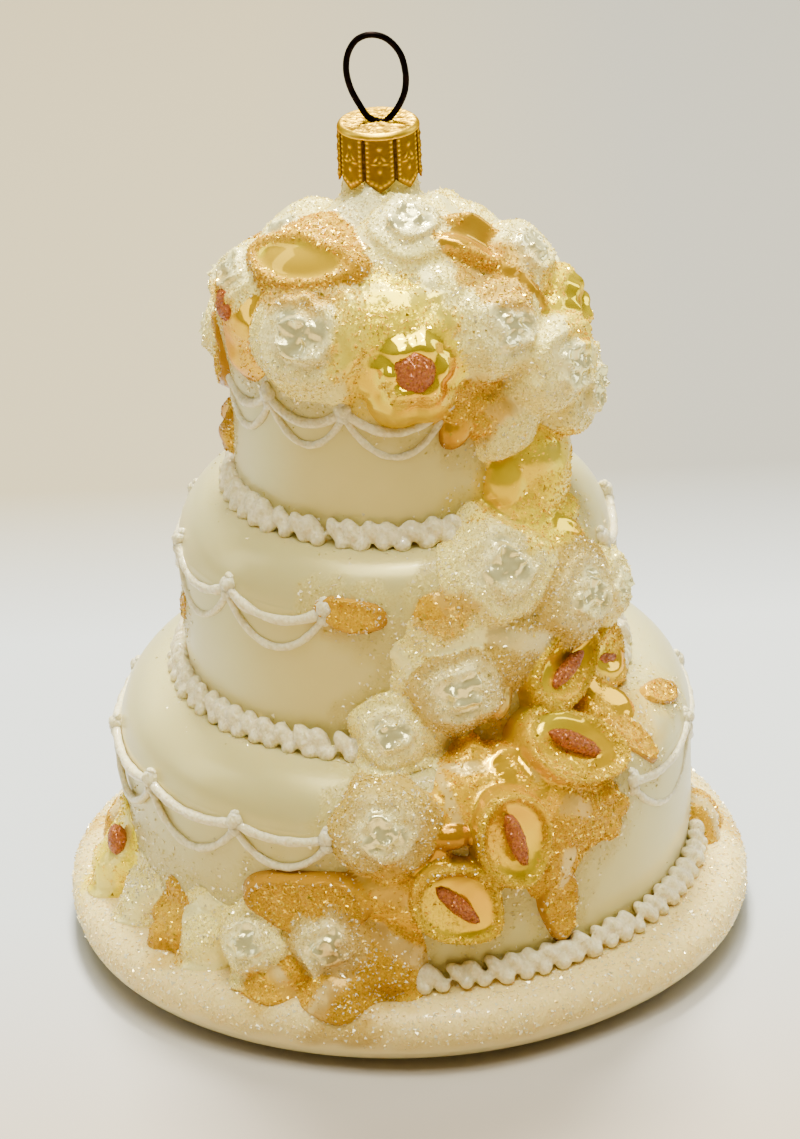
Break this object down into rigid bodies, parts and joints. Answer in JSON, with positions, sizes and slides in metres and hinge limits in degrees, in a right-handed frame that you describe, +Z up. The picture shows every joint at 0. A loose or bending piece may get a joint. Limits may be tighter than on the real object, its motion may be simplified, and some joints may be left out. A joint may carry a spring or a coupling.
{
  "type": "wedding cake glass tree ornament",
  "caption": "Blown glass tree ornament shaped as a tiered wedding cake on its board, with moulded flowers, piped swags, a crown cap and a hanging loop.",
  "frame": {"origin": "centre of the flat face that the cake board rests on", "axes": "+Z up through the crown cap, -Y out of the front that carries the cascade of flowers, +X to the right seen from the front"},
  "size_m": [0.1116, 0.1116, 0.1513],
  "materials": {
    "pearl_lacquer": "opaque satin pearl lacquer on blown glass",
    "white_glitter": "white glass glitter in clear glue",
    "yellow_lacquer": "glossy yellow lacquer",
    "gold_lacquer": "bright gold lacquer over silvered glass",
    "peach_glitter": "peach lacquer with fine gold glitter",
    "rust_glitter": "rust red glitter in glue",
    "gilt_cap": "gilt stamped tinplate with an embossed pattern",
    "brown_wire": "dark brown lacquered spring wire"
  },
  "bodies": {
    "root": {"glass_cake": "pearl_lacquer", "crown_cap": "gilt_cap", "hanging_loop": "brown_wire"}
  },
  "joints": []
}
